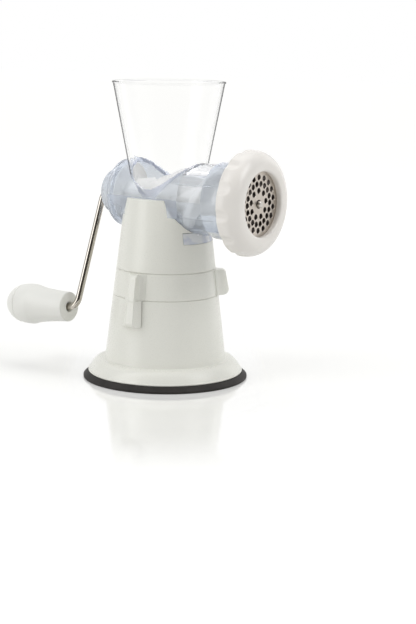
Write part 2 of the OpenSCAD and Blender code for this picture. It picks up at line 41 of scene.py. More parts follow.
# ---------------------------------------------------------------- camera
# fitted to the stand, the hopper's rim and the hole plate; distances in metres, lens in millimetres
CAM_AZ = radians(36.553)
CAM_DIST = 1.38917
CAM_Z = 0.32340
CAM_PAN = radians(-1.595)
CAM_PITCH = radians(10.751)
CAM_ROLL = radians(0.776)
CAM_LENS = 89.206


def make_camera():
    data = bpy.data.cameras.new("camera")
    data.sensor_fit = "VERTICAL"
    data.sensor_height = 36.0
    data.sensor_width = 24.0
    data.lens = CAM_LENS
    data.clip_start = 0.05
    data.clip_end = 30.0
    cam = bpy.data.objects.new("camera", data)
    bpy.context.scene.collection.objects.link(cam)
    a = CAM_AZ + CAM_PAN
    fw = Vector((-sin(a) * cos(CAM_PITCH), cos(a) * cos(CAM_PITCH), -sin(CAM_PITCH)))
    right = Vector((cos(a), sin(a), 0.0))
    up = right.cross(fw)
    cx = cos(CAM_ROLL) * right + sin(CAM_ROLL) * up
    cy = -sin(CAM_ROLL) * right + cos(CAM_ROLL) * up
    cz = -fw
    m = Matrix(((cx.x, cy.x, cz.x, CAM_DIST * sin(CAM_AZ)),
                (cx.y, cy.y, cz.y, -CAM_DIST * cos(CAM_AZ)),
                (cx.z, cy.z, cz.z, CAM_Z),
                (0, 0, 0, 1)))
    cam.matrix_world = m
    bpy.context.scene.camera = cam


make_camera()
bpy.context.scene.view_settings.view_transform = "Standard"


# ---------------------------------------------------------------- materials
def new_mat(name):
    m = bpy.data.materials.new(name)
    m.use_nodes = True
    nt = m.node_tree
    nt.nodes.clear()
    out = nt.nodes.new("ShaderNodeOutputMaterial")
    bsdf = nt.nodes.new("ShaderNodeBsdfPrincipled")
    nt.links.new(bsdf.outputs[0], out.inputs["Surface"])
    return m, nt, bsdf, out


def noise(nt, scale, detail=3.0, rough=0.5, vector=None):
    n = nt.nodes.new("ShaderNodeTexNoise")
    n.inputs["Scale"].default_value = scale
    n.inputs["Detail"].default_value = detail
    n.inputs["Roughness"].default_value = rough
    if vector is not None:
        nt.links.new(vector, n.inputs["Vector"])
    return n


def coords(nt, scale=(1, 1, 1), rot=(0, 0, 0)):
    tc = nt.nodes.new("ShaderNodeTexCoord")
    mp = nt.nodes.new("ShaderNodeMapping")
    mp.inputs["Scale"].default_value = scale
    mp.inputs["Rotation"].default_value = rot
    nt.links.new(tc.outputs["Object"], mp.inputs["Vector"])
    return mp.outputs["Vector"]


def remap(nt, value, lo, hi, a=0.0, b=1.0):
    r = nt.nodes.new("ShaderNodeMapRange")
    r.inputs["From Min"].default_value = a
    r.inputs["From Max"].default_value = b
    r.inputs["To Min"].default_value = lo
    r.inputs["To Max"].default_value = hi
    nt.links.new(value, r.inputs["Value"])
    return r.outputs["Result"]


def calc(nt, op, a, b):
    """One arithmetic step on numbers or sockets."""
    m = nt.nodes.new("ShaderNodeMath")
    m.operation = op
    for k, v in enumerate((a, b)):
        if isinstance(v, (int, float)):
            m.inputs[k].default_value = v
        else:
            nt.links.new(v, m.inputs[k])
    return m.outputs[0]


def smooth_ramp(nt, value, a, b, va, vb):
    r = nt.nodes.new("ShaderNodeMapRange")
    r.interpolation_type = "SMOOTHSTEP"
    r.inputs["From Min"].default_value = a
    r.inputs["From Max"].default_value = b
    r.inputs["To Min"].default_value = va
    r.inputs["To Max"].default_value = vb
    nt.links.new(value, r.inputs["Value"])
    return r.outputs["Result"]


def two_tone(nt, fac, c0, c1, p0=0.3, p1=0.7):
    r = nt.nodes.new("ShaderNodeValToRGB")
    r.color_ramp.elements[0].position = p0
    r.color_ramp.elements[0].color = (*c0, 1)
    r.color_ramp.elements[1].position = p1
    r.color_ramp.elements[1].color = (*c1, 1)
    nt.links.new(fac, r.inputs["Fac"])
    return r.outputs["Color"]


def bump(nt, height, strength, distance, normal=None):
    b = nt.nodes.new("ShaderNodeBump")
    b.inputs["Strength"].default_value = strength
    b.inputs["Distance"].default_value = distance
    nt.links.new(height, b.inputs["Height"])
    if normal is not None:
        nt.links.new(normal, b.inputs["Normal"])
    return b.outputs["Normal"]


def moulded_plastic(name, tone, dark, rough=(0.26, 0.32), spec=0.5, grain=0.00001, edge=0.0006):
    """Injection-moulded ABS: even tone with a faint cloud, fine surface texture, softly rounded edges."""
    m, nt, bsdf, _ = new_mat(name)
    v = coords(nt)
    cloud = noise(nt, 6.0, 2.0, 0.5, v)
    fine = noise(nt, 1400.0, 2.0, 0.6, v)
    nt.links.new(two_tone(nt, cloud.outputs["Fac"], dark, tone, 0.30, 0.62), bsdf.inputs["Base Color"])
    nt.links.new(remap(nt, fine.outputs["Fac"], rough[0], rough[1], 0.3, 0.7), bsdf.inputs["Roughness"])
    bsdf.inputs["Specular IOR Level"].default_value = spec
    bsdf.inputs["IOR"].default_value = 1.53
    bev = nt.nodes.new("ShaderNodeBevel")
    bev.samples = 6
    bev.inputs["Radius"].default_value = edge
    nt.links.new(bump(nt, fine.outputs["Fac"], 0.15, grain, bev.outputs[0]), bsdf.inputs["Normal"])
    return m


def clear_plastic(name, face, edge, power=2.2, haze=0.15, rim=0.0, wave=0.0003, lamp=0.97, ior=1.46):
    """Clear styrene, tinted face on and more so edge on, slightly hazy, with a painted dark outline of
    strength rim.

    Lamps and bounced light pass straight through it, times lamp.
    """
    m, nt, bsdf, out = new_mat(name)
    v = coords(nt)
    flow = noise(nt, 30.0, 2.0, 0.4, v)
    lw = nt.nodes.new("ShaderNodeLayerWeight")
    lw.inputs["Blend"].default_value = 0.5
    facing = calc(nt, "POWER", lw.outputs["Facing"], power)
    # edge on the tint turns darker: partly the longer path through the plastic, partly painted shade for the
    # dark reflections along its edges
    nt.links.new(two_tone(nt, facing, face, edge, 0.0, 1.0), bsdf.inputs["Base Color"])
    bsdf.inputs["Transmission Weight"].default_value = 1.0 - haze
    bsdf.inputs["IOR"].default_value = ior
    nt.links.new(remap(nt, flow.outputs["Fac"], 0.0, 0.02, 0.35, 0.7), bsdf.inputs["Roughness"])
    if wave:
        nt.links.new(bump(nt, flow.outputs["Fac"], 0.05, wave), bsdf.inputs["Normal"])
    glass = bsdf.outputs[0]
    # painted shade: a dark diffuse outline mixed in edge on, standing for the dark reflections along the
    # plastic's edges
    if rim:
        dark = nt.nodes.new("ShaderNodeBsdfDiffuse")
        dark.inputs["Color"].default_value = (0.05, 0.05, 0.052, 1)
        outline = nt.nodes.new("ShaderNodeMixShader")
        nt.links.new(smooth_ramp(nt, lw.outputs["Facing"], 0.70, 0.86, 0.0, rim), outline.inputs["Fac"])
        nt.links.new(glass, outline.inputs[1])
        nt.links.new(dark.outputs[0], outline.inputs[2])
        glass = outline.outputs[0]
    through = nt.nodes.new("ShaderNodeBsdfTransparent")
    through.inputs["Color"].default_value = (lamp, lamp, lamp, 1)
    lp = nt.nodes.new("ShaderNodeLightPath")
    mix = nt.nodes.new("ShaderNodeMixShader")
    unseen = calc(nt, "MAXIMUM", lp.outputs["Is Shadow Ray"], lp.outputs["Is Diffuse Ray"])
    nt.links.new(unseen, mix.inputs["Fac"])
    nt.links.new(glass, mix.inputs[1])
    nt.links.new(through.outputs[0], mix.inputs[2])
    nt.links.new(mix.outputs[0], out.inputs["Surface"])
    return m


def frosted_plastic(name, tone, dark):
    """The same styrene where it is thick and sand-blasted, as on the slide under the barrel."""
    m, nt, bsdf, _ = new_mat(name)
    flow = noise(nt, 90.0, 2.0, 0.4, coords(nt))
    nt.links.new(two_tone(nt, flow.outputs["Fac"], dark, tone, 0.28, 0.5), bsdf.inputs["Base Color"])
    nt.links.new(remap(nt, flow.outputs["Fac"], 0.18, 0.28, 0.3, 0.7), bsdf.inputs["Roughness"])
    bsdf.inputs["Transmission Weight"].default_value = 0.2
    bsdf.inputs["IOR"].default_value = 1.49
    return m


def steel(name, tone, rough, stretch=(1, 1, 1), scale=140.0, strength=0.15):
    """Machined or drawn steel with grinding marks along one direction."""
    m, nt, bsdf, _ = new_mat(name)
    v = coords(nt, stretch)
    marks = noise(nt, scale, 4.0, 0.65, v)
    cloud = noise(nt, 30.0, 3.0, 0.5, coords(nt))
    bsdf.inputs["Metallic"].default_value = 1.0
    dark = tuple(c * 0.88 for c in tone)
    nt.links.new(two_tone(nt, cloud.outputs["Fac"], dark, tone, 0.35, 0.65), bsdf.inputs["Base Color"])
    nt.links.new(remap(nt, marks.outputs["Fac"], rough[0], rough[1], 0.3, 0.7), bsdf.inputs["Roughness"])
    nt.links.new(bump(nt, marks.outputs["Fac"], strength, 0.00003), bsdf.inputs["Normal"])
    return m


RIDGES_PER_M = 1150.0


def rubber(name):
    """Black rubber with dust, grain and fine level ridges round its edge."""
    m, nt, bsdf, _ = new_mat(name)
    v = coords(nt)
    fine = noise(nt, 700.0, 3.0, 0.7, v)
    dust = noise(nt, 45.0, 4.0, 0.6, v)
    nt.links.new(two_tone(nt, dust.outputs["Fac"], (0.016, 0.014, 0.012), (0.032, 0.028, 0.025), 0.35, 0.75),
                 bsdf.inputs["Base Color"])
    nt.links.new(remap(nt, fine.outputs["Fac"], 0.38, 0.62, 0.16, 0.34), bsdf.inputs["Roughness"])
    bsdf.inputs["Specular IOR Level"].default_value = 0.32
    parts = nt.nodes.new("ShaderNodeSeparateXYZ")
    nt.links.new(v, parts.inputs[0])
    ridges = calc(nt, "SINE", calc(nt, "MULTIPLY", parts.outputs["Z"], RIDGES_PER_M * 2 * pi), 0.0)
    grain = bump(nt, fine.outputs["Fac"], 0.35, 0.00008)
    nt.links.new(bump(nt, ridges, 0.5, 0.00012, grain), bsdf.inputs["Normal"])
    return m


WHITE = moulded_plastic("white_abs", (0.800, 0.800, 0.738), (0.790, 0.790, 0.726))
WHITE_GRIP = moulded_plastic("white_grip", (0.815, 0.815, 0.775), (0.805, 0.805, 0.764), (0.30, 0.38))
WHITE_NUT = moulded_plastic("white_nut", (0.820, 0.792, 0.750), (0.805, 0.774, 0.730), (0.20, 0.28))
WHITE_WORM = moulded_plastic("worm_acetal", (0.790, 0.795, 0.795), (0.775, 0.780, 0.782), (0.30, 0.42))
# the saddle and cut-edge tints are darker and bluer than the barrel's: partly thicker plastic, partly painted
# shade
CLEAR = clear_plastic("clear_barrel", (0.80, 0.835, 0.875), (0.48, 0.56, 0.76), haze=0.20)
CLEAR_SADDLE = clear_plastic("clear_saddle", (0.66, 0.71, 0.80), (0.42, 0.48, 0.66), haze=0.30)
CLEAR_EDGE = clear_plastic("clear_cut_edge", (0.66, 0.71, 0.86), (0.42, 0.48, 0.72), haze=0.30)
# the hopper's thin wall is nearly colourless; a low index keeps grey bands of reflection off it
THIN = {"haze": 0.0, "wave": 0.0, "lamp": 0.985, "ior": 1.2}
HOPPER_FACE, HOPPER_EDGE = (0.995, 0.995, 0.993), (0.80, 0.80, 0.81)
# rim paints a dark outline on the hopper's edges, painted shade for their dark reflections
CLEAR_HOPPER = clear_plastic("clear_hopper", HOPPER_FACE, HOPPER_EDGE, power=5.0, rim=0.8, **THIN)
CLEAR_INSIDE = clear_plastic("clear_hopper_inside", HOPPER_FACE, HOPPER_EDGE, power=5.0, rim=0.08, **THIN)
# the hopper's lip is painted greyer: partly its thicker bead, partly painted shade
LIP_FACE, LIP_EDGE = (0.93, 0.93, 0.93), (0.70, 0.70, 0.71)
CLEAR_LIP = clear_plastic("clear_hopper_lip", LIP_FACE, LIP_EDGE, power=3.0, rim=0.35, **THIN)
FROST = frosted_plastic("frosted_slide", (0.86, 0.88, 0.90), (0.50, 0.55, 0.70))
STEEL = steel("ground_steel", (0.60, 0.57, 0.53), (0.26, 0.40), (1, 1, 1), 260.0)
STEEL_PLATE = steel("plate_steel", (0.60, 0.545, 0.485), (0.30, 0.42), (1, 6, 1), 160.0, 0.2)
# the walls of the plate's holes: the plate's steel painted near-black, painted shade inside the holes
HOLE_SHADE_STEEL = steel("bore_painted_shade", (0.20, 0.17, 0.15), (0.35, 0.5), (1, 1, 1), 260.0)
STEEL_ROD = steel("rod_steel", (0.60, 0.56, 0.50), (0.12, 0.16), (1, 1, 1), 500.0, 0.0)
RUBBER = rubber("foot_rubber")

NODE_MATERIAL = {
    "suction_foot": RUBBER, "pull_plate": STEEL, "pull_stem": WHITE, "cross_pin": STEEL,
    "lower_housing": WHITE, "guide_column": WHITE, "lock_ring": WHITE, "upper_housing": WHITE,
    "tie_screws": STEEL, "barrel": CLEAR, "hopper": CLEAR, "worm": WHITE_WORM, "worm_pin": STEEL,
    "knife": STEEL, "hole_plate": STEEL_PLATE, "plate_key": STEEL, "ring_nut": WHITE_NUT,
    "rear_bush": WHITE_WORM, "thrust_washer": STEEL, "crank_rod": STEEL_ROD, "drive_hex": STEEL,
    "crank_clip": STEEL, "grip": WHITE_GRIP, "grip_cap": WHITE_GRIP, "grip_washer": STEEL,
}


def set_material(obj, mat):
    if not obj.data.materials:
        obj.data.materials.append(mat)
    for s in obj.material_slots:
        s.material = mat


for node_name, mat in NODE_MATERIAL.items():
    set_material(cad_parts[node_name], mat)

# ---------------------------------------------------------------- the worm's axis
# sizes from here on are millimetres; AXIS_Z and ON_AXIS are metres
AXIS = 166.0
AXIS_Z = AXIS * MM
ON_AXIS = (0, 0, AXIS_Z)


# ---------------------------------------------------------------- mesh helpers
def mesh_object(name, verts, faces, mat, smooth=35):
    me = bpy.data.meshes.new(name)
    me.from_pydata([tuple(v) for v in verts], [], faces)
    me.validate()
    bm = bmesh.new()
    bm.from_mesh(me)
    bmesh.ops.recalc_face_normals(bm, faces=bm.faces)
    bm.to_mesh(me)
    bm.free()
    me.shade_smooth()
    me.set_sharp_from_angle(angle=radians(smooth))
    me.materials.append(mat)
    o = bpy.data.objects.new(name, me)
    bpy.context.scene.collection.objects.link(o)
    return o


def lathe(name, profile, mat, axis="z", seg=192, origin=(0, 0, 0), warp=None, smooth=35, closed=False):
    """Revolve a profile of (along, radius) points in metres; warp(angle, along, radius) may change a radius.

    A closed profile is a loop that doesn't touch the axis; its last point joins its first.
    """
    verts, faces, rings = [], [], []
    ox, oy, oz = origin

    def place(t, a, r):
        if axis == "x":
            return (ox + t, oy + r * cos(a), oz + r * sin(a))
        return (ox + r * cos(a), oy + r * sin(a), oz + t)
    for t, r in profile:
        if r < 1e-7:
            rings.append([len(verts)])
            verts.append(place(t, 0, 0))
        else:
            rings.append(list(range(len(verts), len(verts) + seg)))
            for k in range(seg):
                a = 2 * pi * k / seg
                verts.append(place(t, a, warp(a, t, r) if warp else r))
    for p, q in zip(rings, rings[1:] + rings[:1] * closed):
        for k in range(seg):
            j = (k + 1) % seg
            if len(p) == 1 and len(q) == 1:
                continue
            if len(p) == 1:
                faces.append((p[0], q[k], q[j]))
            elif len(q) == 1:
                faces.append((p[k], p[j], q[0]))
            else:
                faces.append((p[k], p[j], q[j], q[k]))
    return mesh_object(name, verts, faces, mat, smooth)


def boolean(obj, other, op):
    md = obj.modifiers.new("b", "BOOLEAN")
    md.operation = op
    md.object = other
    md.solver = "MANIFOLD"
    dg = bpy.context.evaluated_depsgraph_get()
    me = bpy.data.meshes.new_from_object(obj.evaluated_get(dg))
    obj.modifiers.clear()
    old = obj.data
    obj.data = me
    bpy.data.meshes.remove(old)
    bpy.data.objects.remove(other, do_unlink=True)


def box_mesh(name, lo, hi, mat):
    v = [(x, y, z) for x in (lo[0], hi[0]) for y in (lo[1], hi[1]) for z in (lo[2], hi[2])]
    f = [(0, 1, 3, 2), (4, 6, 7, 5), (0, 4, 5, 1), (2, 3, 7, 6), (0, 2, 6, 4), (1, 5, 7, 3)]
    return mesh_object(name, v, f, mat)


def bez(p, n):
    """n + 1 points on the cubic Bezier curve with control points p."""
    out = []
    for i in range(n + 1):
        t = i / n
        u = 1 - t
        weights = (u ** 3, 3 * u * u * t, 3 * u * t * t, t ** 3)
        out.append(tuple(sum(w * q[k] for w, q in zip(weights, p)) for k in (0, 1)))
    return out


def arc(cx, cy, r, a0, a1, n):
    """n + 1 points on an arc about (cx, cy), from angle a0 to a1 in degrees."""
    turns = [radians(a0 + (a1 - a0) * i / n) for i in range(n + 1)]
    return [(cx + r * cos(a), cy + r * sin(a)) for a in turns]


def mm(points):
    return [(a * MM, b * MM) for a, b in points]


def along_z(points):
    """Turn (radius, height) points into the (along, radius) points that lathe takes."""
    return [(z, r) for r, z in points]


# ---------------------------------------------------------------- clear barrel and hopper, one moulding
CONE_LOW, CONE_TOP = (18.5, 55.0), (165.5, 37.4)  # height and radius at the two ends of the stand's cone
BARREL_R, BORE_R, NECK_R, JOURNAL_R = 31.0, 27.6, 20.0, 15.02
BARREL_BACK, BARREL_FRONT, THREAD_R = -61.0, 98.2, 39.0
PLATE_SEAT_X, PLATE_SEAT_R = 94.2, 31.3
HOP_X, HOP_TOP, HOP_R, HOP_LOW, HOP_WALL = 1.7, 268.2, 50.2, 30.5, 2.0
HOP_AT = (HOP_X * MM, 0, 0)
SLIDE_BACK, SLIDE_FRONT = -28.0, 70.0
SLIDE_FOOT, SLIDE_NECK = (22.0, 126.65, 136.45), (11.0, 135.0, 145.0)  # half width, bottom and top
FLUSH = 0.15
PAD_BACK, PAD_FRONT, PAD_LOW, PAD_TOP, PAD_IN, PAD_OUT = -28.0, 34.2, 150.5, 166.8, 26.0, 31.1
GROOVES, GROOVE_R, GROOVE_BACK, GROOVE_FRONT = 6, 0.6, 28.0, 70.0
# where the regions of the moulding that look different end
LIP_Z, INTAKE_HALF, SADDLE_BACK, SADDLE_R = 266.5, 40.0, -44.0, 29.2


def cone_r(z):
    (z0, r0), (z1, r1) = CONE_LOW, CONE_TOP
    return r0 + (r1 - r0) * (z - z0) / (z1 - z0)


def barrel_skin():
    """The barrel's outside from its neck to its thread, as a solid of revolution."""
    b, n, r, t = BARREL_BACK, NECK_R, BARREL_R, THREAD_R
    neck = [(b, 0), (b, n - 2.2), (b + 0.4, n - 1.1), (b + 1.6, n - 0.2), (b + 3, n), (-48.6, n)]
    shoulder = [(-47.2, n + 0.6), (-46.3, n + 2), (-46, n + 3.5), (-46, r - 2.2), (-45.6, r - 1)]
    shoulder += [(-44.8, r - 0.3), (-43.6, r)]
    body = [(33.2, r), (33.9, r + 0.5), (59.4, r + 0.9), (59.9, r + 1.2), (60.6, r + 2.6), (61.4, r + 3)]
    head = [(79, r + 3.2), (81.4, r + 4.6), (83, t), (BARREL_FRONT, t), (BARREL_FRONT, 0)]
    return lathe("clear_body", mm(neck + shoulder + body + head), CLEAR, "x", 256, ON_AXIS)


def slide():
    """The slide under the barrel, cut flush with the stand's cone."""
    w, z0, z1 = (c * MM for c in SLIDE_FOOT)
    foot = box_mesh("foot", (SLIDE_BACK * MM, -w, z0), (SLIDE_FRONT * MM, w, z1), CLEAR)
    w, z0, z1 = (c * MM for c in SLIDE_NECK)
    neck = box_mesh("neck", (SLIDE_BACK * MM, -w, z0), (SLIDE_FRONT * MM, w, z1), CLEAR)
    boolean(foot, neck, "UNION")
    low, high = 110, 150
    line = [(low, 0), (low, cone_r(low) - FLUSH), (high, cone_r(high) - FLUSH), (high, 0)]
    boolean(foot, lathe("cone", mm(line), CLEAR, seg=256), "INTERSECT")
    return foot


def hopper_outside():
    line = [(AXIS, 0), (AXIS, HOP_LOW), (HOP_TOP - 1.6, HOP_R - 0.3), (HOP_TOP - 1.5, HOP_R + 0.4),
            (HOP_TOP - 1.2, HOP_R + 0.6), (HOP_TOP - 0.4, HOP_R + 0.6), (HOP_TOP, HOP_R + 0.2), (HOP_TOP, 0)]
    return lathe("hop", mm(line), CLEAR, "z", 256, HOP_AT)


def hopper_inside():
    """The funnel's inside, which also opens the barrel over the worm; close rings keep that cut even."""
    top = HOP_TOP + 1
    slope = (HOP_R + 0.19 - HOP_LOW) / (top - AXIS)
    heights = [AXIS + 1.2 * k for k in range(30)] + [top]
    line = [(AXIS, 0)] + [(z, HOP_LOW - HOP_WALL + (z - AXIS) * slope) for z in heights] + [(top, 0)]
    return lathe("inner", mm(line), CLEAR, "z", 256, HOP_AT)


def bore():
    """The barrel's inside: journal, worm bore and the plate's seat."""
    back, front = BARREL_BACK - 1, BARREL_FRONT + 1.3
    line = [(back, 0), (back, JOURNAL_R), (-42.6, JOURNAL_R), (-42.6, BORE_R - 0.6), (-42.0, BORE_R)]
    line += [(PLATE_SEAT_X, BORE_R), (PLATE_SEAT_X, PLATE_SEAT_R), (front, PLATE_SEAT_R), (front, 0)]
    return lathe("void", mm(line), CLEAR, "x", 256, ON_AXIS)


def paint_clear_moulding(me):
    """Give each region of the clear moulding its own tint; the darker ones on the lip, the cut edge and the
    saddle are partly thicker plastic, partly painted shade.
    """
    me.materials.clear()
    for m in (CLEAR, CLEAR_HOPPER, CLEAR_INSIDE, CLEAR_SADDLE, CLEAR_EDGE, FROST, CLEAR_LIP):
        me.materials.append(m)
    wall, inside, saddle, cut_edge, frost, lip = range(1, 7)
    skin_r = BARREL_R + 0.2
    funnel_front = HOP_X + HOP_R + 0.1
    slide_half, slide_top = SLIDE_FOOT[0] + 1, SLIDE_NECK[2] + 0.2
    for p in me.polygons:
        x, y, z = (c / MM for c in p.center)
        r = sqrt(y * y + (z - AXIS) ** 2)
        inward = (x - HOP_X) * p.normal.x + y * p.normal.y < 0
        if z > LIP_Z:
            p.material_index = lip
        elif z > AXIS and x < funnel_front and r > skin_r:
            p.material_index = inside if inward and p.normal.z > -0.9 else wall
        # the cut faces under the hopper: painted darker and bluer, partly painted shade
        elif z > AXIS and inward and BORE_R + 0.1 < r <= skin_r and abs(x) < INTAKE_HALF:
            p.material_index = cut_edge
        elif z < slide_top and r > skin_r + 1 and abs(y) < slide_half:
            p.material_index = frost
        # the lower half between the cheeks: painted darker and bluer, partly the thick slide's tint, partly
        # painted shade from the cheeks
        elif z < AXIS + 1 and SADDLE_BACK < x < PAD_FRONT + 0.2 and r > SADDLE_R:
            p.material_index = saddle
    me.shade_smooth()
    me.set_sharp_from_angle(angle=radians(28))


def clear_moulding():
    outer = barrel_skin()
    boolean(outer, slide(), "UNION")
    # flat pads that stand the barrel between the cheeks
    for side in (-1, 1):
        y0, y1 = sorted((side * PAD_OUT * MM, side * PAD_IN * MM))
        pad = box_mesh("pad", (PAD_BACK * MM, y0, PAD_LOW * MM), (PAD_FRONT * MM, y1, PAD_TOP * MM), CLEAR)
        boolean(outer, pad, "UNION")
    boolean(outer, hopper_outside(), "UNION")
    boolean(outer, bore(), "DIFFERENCE")
    groove = [(GROOVE_BACK, 0), (GROOVE_BACK, GROOVE_R), (GROOVE_FRONT, GROOVE_R), (GROOVE_FRONT, 0)]
    for k in range(GROOVES):
        a = 2 * pi * k / GROOVES
        at = (0, -BORE_R * MM * sin(a), AXIS_Z + BORE_R * MM * cos(a))
        boolean(outer, lathe("groove", mm(groove), CLEAR, "x", 16, at), "DIFFERENCE")
    boolean(outer, hopper_inside(), "DIFFERENCE")
    paint_clear_moulding(outer.data)
    outer.name = "clear_moulding"
    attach(outer, "stand")
    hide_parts("barrel", "hopper")


# ---------------------------------------------------------------- worm
# a rear disc, a tapering core and two left-handed flights that start under the hopper
WORM_BACK, WORM_FRONT, WORM_R, CORE_R, PITCH, FLIGHT_X = -40.4, 88.3, 27.0, 14.0, 80.0, 7.4
CREST, FLANK_FRONT, FLANK_BACK = 11.0, 50.0, 70.0  # half the crest's width and the flanks' widths, in degrees
FLIGHT_RISE = 16.0
SHANK_BACK, SHANK_R, DISC_R = -60.7, 12.0, 25.2


def soft_max(p, q, k):
    """The larger of p and q, rounded where they are within k of each other."""
    h = max(k - abs(p - q), 0.0) / k
    return max(p, q) + h * h * k / 4


def core_at(x):
    """Radius of the core, which thickens up to the flights and then thins a little."""
    knee = FLIGHT_X - 14
    if x < knee:
        return CORE_R - 2.5 + 2.5 * (x - WORM_BACK - 2.6) / (knee - WORM_BACK - 2.6)
    return CORE_R - (x - knee) / (WORM_FRONT - knee)


def worm_radius(a, t, r):
    """Radius of the worm at angle a and distance t along it, with core and flights blended."""
    x = t / MM
    if x < WORM_BACK + 3.0 or x > WORM_FRONT - 0.01:
        return r
    turn = (a * 180 / pi - 180 - 360 * (FLIGHT_X - x) / PITCH + 90) % 180 - 90
    behind = turn < 0
    past_crest = max(0.0, abs(turn) - CREST) / (FLANK_BACK if behind else FLANK_FRONT)
    rise = (1 + cos(pi * min(1.0, past_crest))) / 2
    low = CORE_R - 4
    flight = low + (WORM_R - low) * rise ** (1.9 if behind else 1.5)
    core = core_at(x)
    cap = core + max(0.0, (x - FLIGHT_X + FLIGHT_RISE) / FLIGHT_RISE) * (WORM_R + 1 - core)
    flight = -soft_max(-flight, -cap, 1.5)
    return soft_max(flight, core, 3.0) * MM


def worm():
    rings = 170
    b, e, s, d = WORM_BACK, WORM_FRONT, SHANK_R, DISC_R
    line = [(SHANK_BACK, 0), (SHANK_BACK, s - 0.4), (SHANK_BACK + 0.4, s), (b, s), (b, d - 0.4), (b + 0.3, d),
            (b + 1.0, d), (b + 1.4, d - 0.4), (b + 1.5, CORE_R + 1.5), (b + 1.9, CORE_R - 1.2),
            (b + 2.8, CORE_R - 2.5)]
    line += [(b + 3.2 + (e - b - 3.22) * i / rings, CORE_R) for i in range(rings + 1)]
    line += [(e, CORE_R - 1), (e, 0)]
    ob = lathe("worm_smooth", mm(line), WHITE_WORM, "x", 240, ON_AXIS, worm_radius, 40)
    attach(ob, "crank")
    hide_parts("worm")


# ---------------------------------------------------------------- ring nut with finger scoops
NUT_BACK, NUT_FACE, NUT_R, MOUTH_R = 85.0, 105.0, 46.7, 28.5
SCOOPS, SCOOP_DEPTH, SCOOP_R, SCOOP_RUN = 12, 1.9, 11.0, 10.4


def nut_radius(a, t, r):
    """Radius of the nut at angle a and distance t along it, with finger scoops that run out at the front."""
    x, r = t / MM - NUT_BACK, r / MM
    if r < NUT_R - 12:
        return r * MM
    centre = NUT_R + SCOOP_R - SCOOP_DEPTH
    step = 2 * pi / SCOOPS
    first = pi / 2 + 0.3 * step
    d = (a - first + step / 2) % step - step / 2
    over = max(0.0, x - SCOOP_RUN)
    reach = SCOOP_R ** 2 - over * over - (centre * sin(d)) ** 2
    if reach <= 0:
        return r * MM
    return -soft_max(-(centre * cos(d) - sqrt(reach)), -r, 0.7) * MM


def ring_nut():
    b, f, r, m = NUT_BACK, NUT_FACE, NUT_R, MOUTH_R
    line = [(b + 1.0, 39.3), (b, 40.5), (b, r - 2.6)]
    line += arc(b + 1.6, r - 1.9, 1.6, 172, 97, 6)
    line += bez([(b + 2.2, r - 0.25), (b + 12, r + 0.6), (f - 3.2, r - 3.6), (f - 1, r - 8.4)], 30)
    line += bez([(f - 1, r - 8.4), (f - 0.1, r - 10.4), (f, m + 5), (f - 0.2, m + 2.2)], 12)[1:]
    line += bez([(f - 0.2, m + 2.2), (f - 0.35, m + 1.0), (f - 0.9, m + 0.1), (f - 2.2, m)], 8)[1:]
    line += [(f - 5.6, m), (f - 5.8, m + 0.2), (f - 5.8, 39.3), (b + 1.0, 39.3)]
    ob = lathe("ring_nut_smooth", mm(line), WHITE_NUT, "x", 360, ON_AXIS, nut_radius, 50)
    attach(ob, "nut")
    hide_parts("ring_nut")


# ---------------------------------------------------------------- grip and cap about the drooping handle
# the crank leans about the worm's axis, and its handle droops a little from square
ARM, BEND, THROW, DROOP, LEAN, ROD_R = 72.0, 9.0, 113.0, radians(2.9), radians(-21.0), 3.0
GRIP_X, GRIP_LEN, GRIP_SEAM = 81.0, 71.0, 135.0


def handle_frame():
    """Origin on the grip's axis level with the arm's bend, with the local X axis pointing at the crank."""
    x, z = -ARM - BEND + BEND * sin(DROOP), -THROW + BEND - BEND * cos(DROOP)
    at = Vector((x, -z * sin(LEAN), AXIS + z * cos(LEAN))) * MM
    ax = Vector((cos(DROOP), -sin(DROOP) * sin(LEAN), sin(DROOP) * cos(LEAN)))
    return at, ax


def place_on_handle(ob):
    at, ax = handle_frame()
    rot = Vector((1, 0, 0)).rotation_difference(ax).to_matrix().to_4x4()
    ob.data.transform(Matrix.Translation(at) @ rot @ Matrix.Translation((GRIP_X * MM, 0, 0)))


def along_handle(points):
    """Turn points measured outward along the handle into lathe points, whose X axis points inward."""
    return mm([(-t, r) for t, r in points])


def grip():
    gx, ln, seam = GRIP_X, GRIP_LEN, GRIP_SEAM
    end_r, neck_r, belly_r, bore_r = 13.8, 15.0, 18.8, ROD_R + 0.1
    belly = (gx + ln * 0.55, belly_r - 0.5)
    line = [(seam, bore_r), (gx + 5, bore_r), (gx, ROD_R + 1.9), (gx, ROD_R + 2.1), (gx, end_r - 1.6)]
    line += arc(gx + 1.2, end_r - 1.2, 1.2, 180, 90, 6)
    line += bez([(gx + 4, end_r + 0.1), (gx + ln * 0.30, neck_r), (gx + ln * 0.42, neck_r + 0.7), belly], 24)
    tail = (seam - 0.5, belly_r - 0.82)
    line += bez([belly, (gx + ln * 0.61, belly_r + 0.2), (gx + ln * 0.68, belly_r), tail], 14)[1:]
    line += [(seam - 0.2, belly_r - 1.15), (seam, belly_r - 1.6), (seam, bore_r)]
    ob = lathe("grip_smooth", along_handle(line), WHITE_GRIP, "x", 128, smooth=40)
    place_on_handle(ob)
    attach(ob, "handle")
    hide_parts("grip")
    shoulder = (seam + 0.6, belly_r - 1.02)
    line = [(seam + 0.02, 0), (seam + 0.02, belly_r - 1.6), (seam + 0.25, belly_r - 1.2), shoulder]
    line += bez([shoulder, (seam + 4.8, belly_r - 1.8), (gx + ln, belly_r * 0.62), (gx + ln, 0)], 26)[1:]
    ob = lathe("grip_cap_smooth", along_handle(line), WHITE_GRIP, "x", 128, smooth=40)
    place_on_handle(ob)
    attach(ob, "handle")
    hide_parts("grip_cap")


